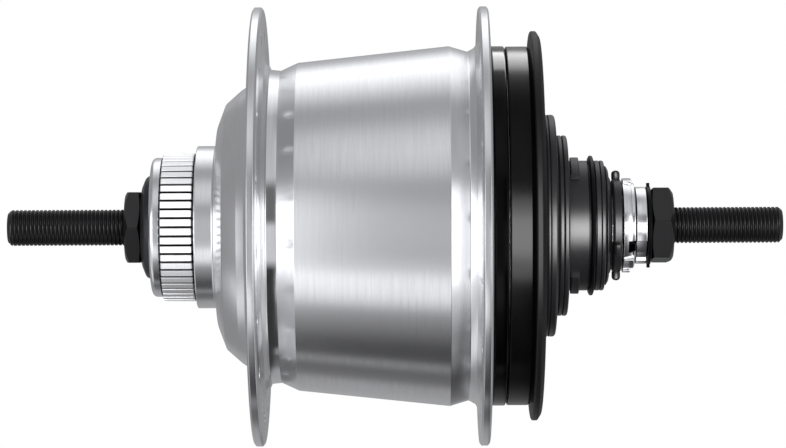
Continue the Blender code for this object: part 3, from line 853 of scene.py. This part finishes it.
def make_shift_ring():
    """The cam's outer ring, with a narrower step, raised lugs and one notch darkened by painted shade.
    """
    step, bore_r = SHIFT_LOW + 0.8, 6.5
    ring = [
        (SHIFT_HIGH, bore_r),
        (SHIFT_HIGH, SHIFT_R, 0.25),
        (step + 0.1, SHIFT_R - 0.3, 0.1),
        (step, SHIFT_STEP_R, 0.1),
        (SHIFT_LOW, SHIFT_STEP_R, 0.25),
        (SHIFT_LOW, bore_r),
    ]
    body = lathe("shift_ring_body", ring, SMALL_SMOOTH)
    lugs = []
    for degrees, half, start in SHIFT_LUGS:
        angle, low, high = math.radians(degrees), SHIFT_LOW + start, SHIFT_HIGH - 0.1
        lugs.append(block("lug", angle, math.radians(half), 9.0, SHIFT_R + 0.5, low, high, 0.2))
    body = merge("shift_ring_lugs", body, one_tool(lugs), "UNION")
    angle, low, high = math.radians(240.5), SHIFT_LOW - 0.5, SHIFT_LOW + 1.7
    notch = block("notch", angle, math.radians(8.4), 7.0, 13.0, low, high, 0.1)
    body = merge("shift_ring_fine", body, notch, "DIFFERENCE")
    fit(body, "cam", "bright_steel", SHIFT_ZINC, "shift_ring")


def make_lever_ring():
    """The black lever ring, with its round knobs."""
    bore_r, ring_r = 8.4, 11.3
    lever = [
        (LEVER_HIGH, bore_r),
        (LEVER_HIGH, ring_r - 0.4, 0.2),
        (LEVER_HIGH - 0.4, ring_r, 0.2),
        (LEVER_LOW, ring_r, 0.3),
        (LEVER_LOW, bore_r),
    ]
    body = lathe("lever_ring_body", lever, SMALL_SMOOTH)
    low, high = LEVER_LOW + 0.05, LEVER_HIGH - 0.05
    knobs = []
    for degrees in KNOB_ANGLES:
        angle = math.radians(degrees)
        knobs.append(block("knob", angle, math.radians(7.5), 10.6, 13.4, low, high, 0.88))
    body = merge("lever_ring_fine", body, one_tool(knobs), "UNION")
    fit(body, "cam", "black_plastic", PLASTIC, "lever_ring")


# ---------------------------------------------------------------- pieces kept from the frame


def finish_inner_pieces():
    """Pieces that keep their CAD shapes, such as the gears and bearings, take real surfaces."""
    finishes = {
        "shell_aluminium": SHELL,
        "black_painted": PAINT,
        "black_plastic": PLASTIC,
        "black_steel": OXIDE,
        "bright_steel": BRIGHT,
        "gear_steel": GEAR,
        "spring_steel": SPRING,
    }
    for part in frame["record"]["subparts"]:
        mesh = frame["nodes"][part["node"]].data
        mesh.materials.clear()
        mesh.materials.append(finishes[part["material_slot"]])


# ---------------------------------------------------------------- studio

FLOOR_R, FLOOR_Z = 2.1, -0.32


def make_floor():
    """A pale disc under the hub, which neither lights it nor shows in it."""
    shape = bmesh.new()
    bmesh.ops.create_circle(shape, cap_ends=True, segments=96, radius=FLOOR_R)
    bmesh.ops.translate(shape, vec=(0, 0, FLOOR_Z), verts=shape.verts)
    floor = build("floor", shape)
    surface = Surface("pale_floor", (0.9, 0.9, 0.9), 0.0, 0.6)
    surface.roughness(surface.spread_between(surface.noise(12.0), 0.5, 0.7))
    floor.data.materials.append(surface.material)
    floor.visible_glossy = False
    floor.visible_diffuse = False


# The studio's brightness by angle round the axle: 0 towards the front of the view, 90 overhead.
# AROUND is for directions square to the axle, and ASIDE for those that lean well along it.
AROUND = (
    (-180, 0.40),
    (-156, 0.41),
    (-130, 0.37),
    (-122, 0.18),
    (-109, 0.12),
    (-106, 0.32),
    (-101, 0.32),
    (-98, 0.06),
    (-84, 0.08),
    (-70, 0.23),
    (-58, 0.36),
    (-51, 0.85),
    (-46, 1.10),
    (-34, 1.12),
    (-28, 0.62),
    (-18, 0.45),
    (8, 0.46),
    (20, 0.35),
    (28, 0.39),
    (38, 0.66),
    (50, 0.78),
    (62, 0.70),
    (76, 0.42),
    (88, 0.38),
    (98, 0.66),
    (106, 0.94),
    (116, 1.26),
    (128, 1.50),
    (135, 1.35),
    (142, 0.92),
    (151, 0.52),
    (180, 0.30),
)
ASIDE = (
    (-180, 0.30),
    (-118, 0.30),
    (-110, 0.90),
    (-88, 0.90),
    (-80, 0.50),
    (-44, 1.10),
    (-36, 2.30),
    (20, 2.30),
    (32, 0.50),
    (58, 0.32),
    (120, 0.34),
    (180, 0.34),
)
# SCREEN stands in for AROUND in directions that lean slightly to the drive side: a dark screen.
SCREEN = (
    (-180, 0.30),
    (-120, 0.05),
    (-31, 0.03),
    (-24, 0.70),
    (0, 0.70),
    (5, 0.16),
    (28, 0.16),
    (36, 0.60),
    (88, 0.50),
    (116, 1.26),
    (138, 1.40),
    (155, 0.52),
    (180, 0.34),
)
SCREEN_AT = 0.20  # how far along the axle the screen's direction lies
SCREEN_HALF = 0.16
SCREEN_CORE = 0.6  # the share of its half width before it starts to fade
ASIDE_FROM, ASIDE_FULL = 0.30, 0.46  # how far along the axle ASIDE starts, and where it is alone
ENDS_FROM, ENDS_FULL = 0.88, 0.97
ENDS = 0.31  # brightness far out along the axle
STUDIO_TOP = 3.0  # the brightness that a ramp colour of 1 stands for
STUDIO_TINT = (0.985, 0.99, 1.02)


def make_world():
    """White to the camera, and to everything else a studio whose brightness goes by direction."""
    world = bpy.data.worlds.new("studio")
    bpy.context.scene.world = world
    world.use_nodes = True
    tree = world.node_tree
    nodes, links = tree.nodes, tree.links
    nodes.clear()

    def tone(light):
        return tuple(c * light / STUDIO_TOP for c in STUDIO_TINT) + (1.0,)

    def ramp(stops):
        node = nodes.new("ShaderNodeValToRGB")
        colours = node.color_ramp.elements
        while len(colours) > 1:
            colours.remove(colours[-1])
        colours[0].position = 0.0
        colours[0].color = tone(stops[0][1])
        for degrees, light in stops[1:]:
            colours.new((degrees + 180) / 360).color = tone(light)
        links.new(share, node.inputs["Fac"])
        return node.outputs["Color"]

    def blend(along, start, stop, first, second):
        """Goes from the first colour to the second as along goes from start to stop."""
        amount = nodes.new("ShaderNodeMapRange")
        amount.interpolation_type = "SMOOTHSTEP"
        amount.inputs["From Min"].default_value = start
        amount.inputs["From Max"].default_value = stop
        links.new(along, amount.inputs["Value"])
        node = nodes.new("ShaderNodeMix")
        node.data_type = "RGBA"
        links.new(amount.outputs["Result"], node.inputs["Factor"])
        links.new(first, node.inputs["A"])
        if isinstance(second, tuple):
            node.inputs["B"].default_value = second
        else:
            links.new(second, node.inputs["B"])
        return node.outputs["Result"]

    direction = nodes.new("ShaderNodeTexCoord").outputs["Generated"]
    split = nodes.new("ShaderNodeSeparateXYZ")
    links.new(direction, split.inputs[0])
    x, y, z = split.outputs
    angle = calculate(tree, "ARCTAN2", z, calculate(tree, "MULTIPLY", x, -1.0))
    share = calculate(tree, "ADD", calculate(tree, "MULTIPLY", angle, 1 / math.tau), 0.5)
    along = calculate(tree, "ABSOLUTE", y)
    from_screen = calculate(tree, "ABSOLUTE", calculate(tree, "ADD", y, SCREEN_AT))
    core = SCREEN_CORE * SCREEN_HALF
    screened = blend(from_screen, core, SCREEN_HALF, ramp(SCREEN), ramp(AROUND))
    sides = blend(along, ASIDE_FROM, ASIDE_FULL, screened, ramp(ASIDE))
    whole = blend(along, ENDS_FROM, ENDS_FULL, sides, tone(ENDS))
    studio = nodes.new("ShaderNodeBackground")
    studio.inputs["Strength"].default_value = STUDIO_TOP
    links.new(whole, studio.inputs["Color"])
    backdrop = nodes.new("ShaderNodeBackground")
    backdrop.inputs["Color"].default_value = (1.0, 1.0, 1.0, 1.0)
    seen = nodes.new("ShaderNodeLightPath").outputs["Is Camera Ray"]
    mix = nodes.new("ShaderNodeMixShader")
    links.new(seen, mix.inputs["Fac"])
    links.new(studio.outputs[0], mix.inputs[1])
    links.new(backdrop.outputs[0], mix.inputs[2])
    output = nodes.new("ShaderNodeOutputWorld")
    links.new(mix.outputs[0], output.inputs["Surface"])


def make_light(name, degrees, distance, height, length, power, materials):
    """A soft panel, length long beside the axle, that only pieces of some materials take.

    degrees is its angle round the axle: 0 is towards the front of the view and 90 overhead.
    """
    data = bpy.data.lights.new(name, "AREA")
    data.shape = "RECTANGLE"
    data.size, data.size_y = length, height
    data.energy = power
    light = bpy.data.objects.new(name, data)
    bpy.context.scene.collection.objects.link(light)
    angle = math.radians(degrees)
    light.location = (-distance * math.cos(angle), 0.0, distance * math.sin(angle))
    light.rotation_euler = (-Vector(light.location)).to_track_quat("-Z", "Y").to_euler()
    light.visible_camera = False
    lit = bpy.data.collections.new("lit_by_" + name)
    for piece in bpy.context.scene.objects:
        if piece.type == "MESH" and piece.data.materials and piece.data.materials[0] in materials:
            lit.objects.link(piece)
    light.light_linking.receiver_collection = lit


# each soft panel: name, degrees round the axle, distance, height, length, power, and what takes it
PANELS = (
    ("black_strip_wide", -8, 1.25, 1.2, 1.6, 60.0, (OXIDE, SATIN, PLASTIC, MATT)),
    ("black_overhead", 131, 1.25, 0.64, 1.6, 21.0, (PAINT, SATIN)),
    ("black_strip_narrow", -6, 1.20, 0.55, 1.5, 34.0, (OXIDE, SATIN, PLASTIC)),
    ("bright_strip", -6, 1.25, 0.6, 1.6, 4.5, (BRIGHT, SHIFT_ZINC)),
    ("thread_strip", 4, 1.25, 0.3, 2.0, 12.0, (THREAD_BLACK,)),
    ("spline_fill", 0, 1.30, 3.4, 2.6, 60.0, (MACHINED,)),
)

CAMERA_Y, CAMERA_Z, CAMERA_DISTANCE = -3.0, 0.57, 800.0
AIM_Y = 0.46
VIEW_ROLL = math.radians(-0.25)
SENSOR_WIDTH, FOCAL_LENGTH = 36.0, 151.5


def make_camera():
    """A long lens that looks almost square across the axle, level with it."""
    data = bpy.data.cameras.new("camera")
    data.sensor_width = SENSOR_WIDTH
    data.lens = FOCAL_LENGTH
    data.clip_end = 20.0
    camera = bpy.data.objects.new("camera", data)
    bpy.context.scene.collection.objects.link(camera)
    camera.location = Vector((-CAMERA_DISTANCE, CAMERA_Y, CAMERA_Z)) * MM
    aim = Vector((0.0, AIM_Y, CAMERA_Z)) * MM - camera.location
    level = aim.to_track_quat("-Z", "Y").to_matrix().to_4x4()
    roll = Matrix.Rotation(VIEW_ROLL, 4, "Z")
    camera.matrix_world = Matrix.Translation(camera.location) @ level @ roll
    bpy.context.scene.camera = camera


# ---------------------------------------------------------------- the whole scene

make_camera()
make_world()
make_floor()
finish_inner_pieces()
make_hub_shell()
make_spline()
make_shell_end()
make_driver()
make_snap_ring()
make_right_dust_cap()
make_axle()
make_locknut("locknut_left_fine", NUT_L_IN, NUT_L_OUT, math.radians(30), 1.1, "locknut_left")
make_locknut("locknut_right_fine", NUT_R_IN, NUT_R_OUT, math.radians(37.6), 1.2, "locknut_right")
make_left_dust_cap()
make_collar()
make_stop_washer()
make_shift_ring()
make_lever_ring()
for panel in PANELS:
    make_light(*panel)

bpy.context.scene.view_settings.view_transform = "Standard"
